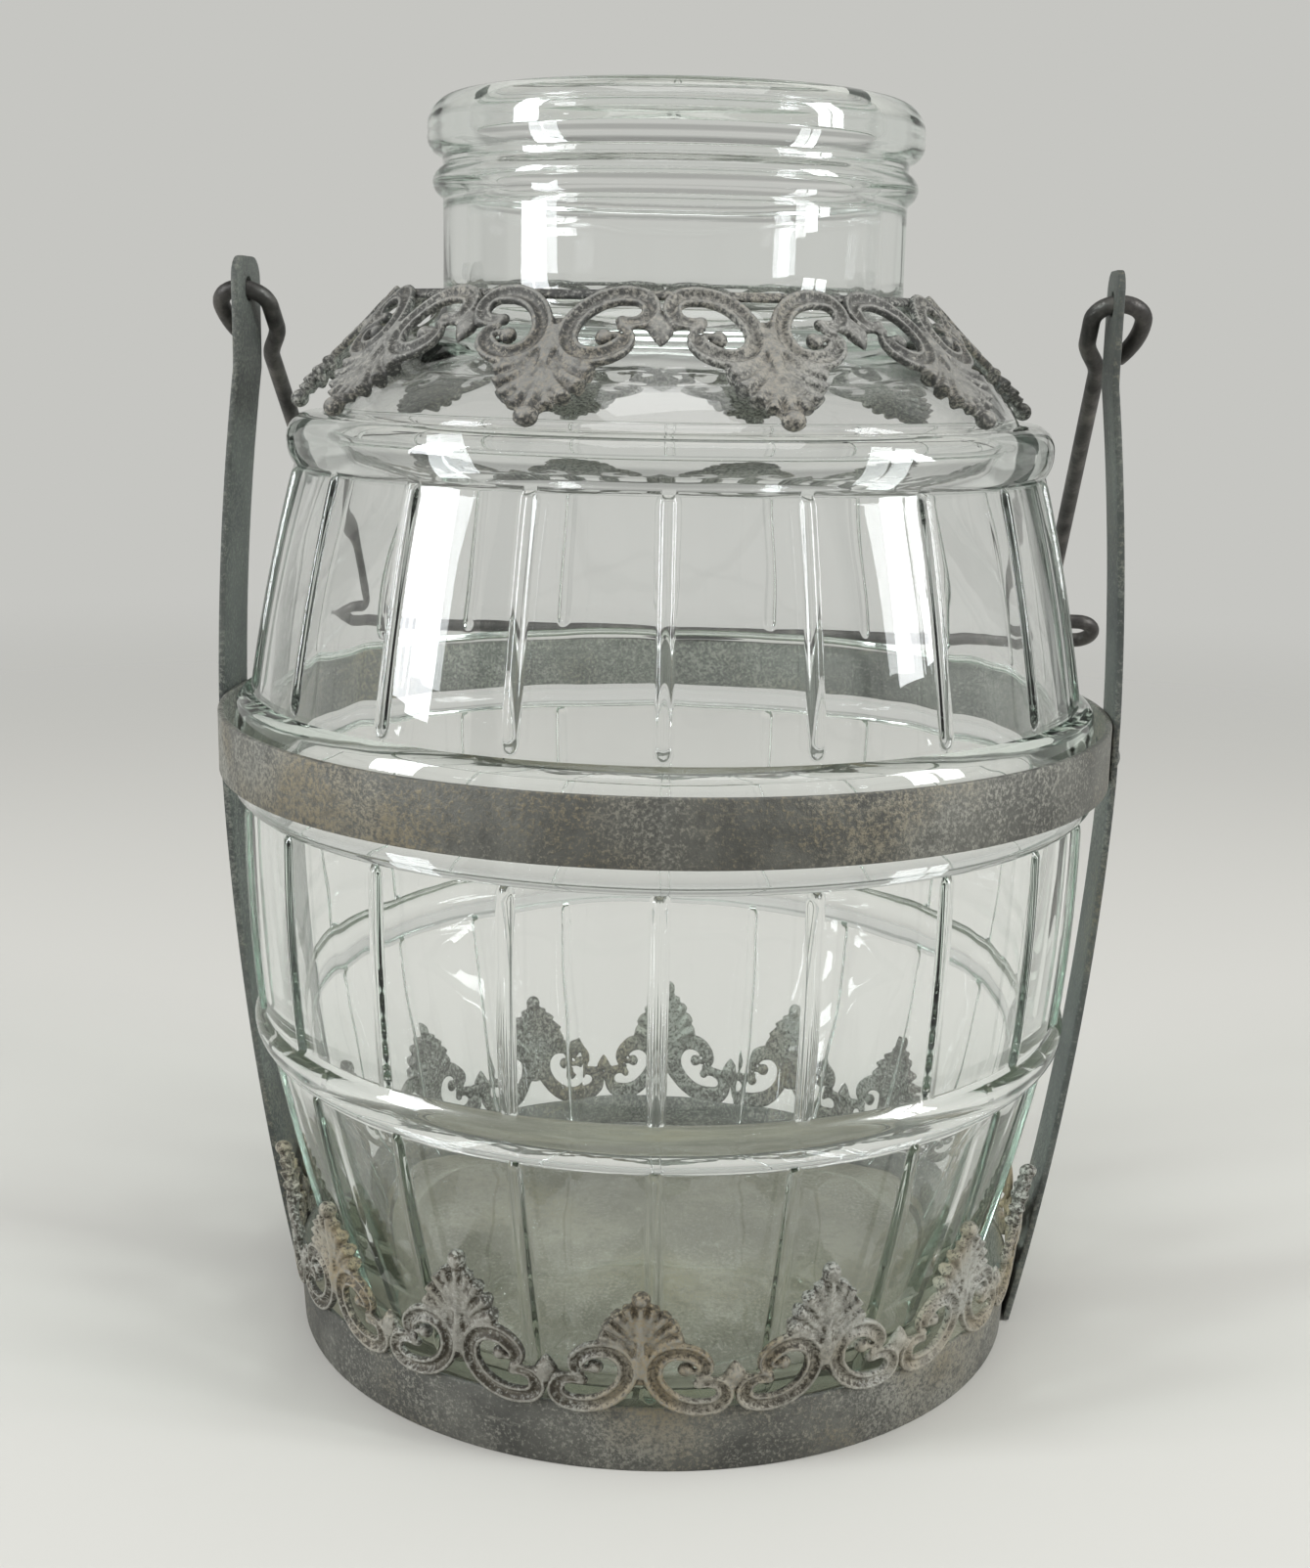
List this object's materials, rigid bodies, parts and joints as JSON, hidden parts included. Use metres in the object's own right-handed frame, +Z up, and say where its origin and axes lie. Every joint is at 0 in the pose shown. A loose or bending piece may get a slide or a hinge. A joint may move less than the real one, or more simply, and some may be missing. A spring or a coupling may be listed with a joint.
{
  "type": "antique pickle jar with carrier",
  "caption": "Barrel-shaped clear glass counter jar with moulded staves and hoops, in an aged grey metal carrier with pierced scroll borders and a swinging wire bail.",
  "frame": {"origin": "on the jar's axis at the surface that the tray stands on", "axes": "+Z up along the jar's axis, +X through the right upright along the bail's pivot line, -Y to the front; the bail hangs down on the +Y side"},
  "size_m": [0.2634, 0.2416, 0.33],
  "materials": {
    "glass": "clear old pressed glass with a faint aqua tint at thick edges",
    "lace_metal": "aged pewter grey pierced sheet with pale rubbed highlights",
    "strap_metal": "dark mottled galvanised strip",
    "tray_metal": "dull grey-green galvanised sheet",
    "bail_wire": "dark brown-grey oxidised wire"
  },
  "bodies": {
    "carrier": {"jar": "glass", "collar": "lace_metal", "base_ring": "lace_metal", "base_plate": "tray_metal", "middle_band": "strap_metal", "upright_right": "strap_metal", "upright_left": "strap_metal", "rivets": "strap_metal"},
    "bail": {"bail": "bail_wire"}
  },
  "joints": [
    {"name": "bail_hinge", "type": "hinge", "parent": "carrier", "child": "bail", "pos_m": [0, 0, 0.2815], "axis": [1, 0, 0], "range_deg": [0, 262.6]}
  ]
}
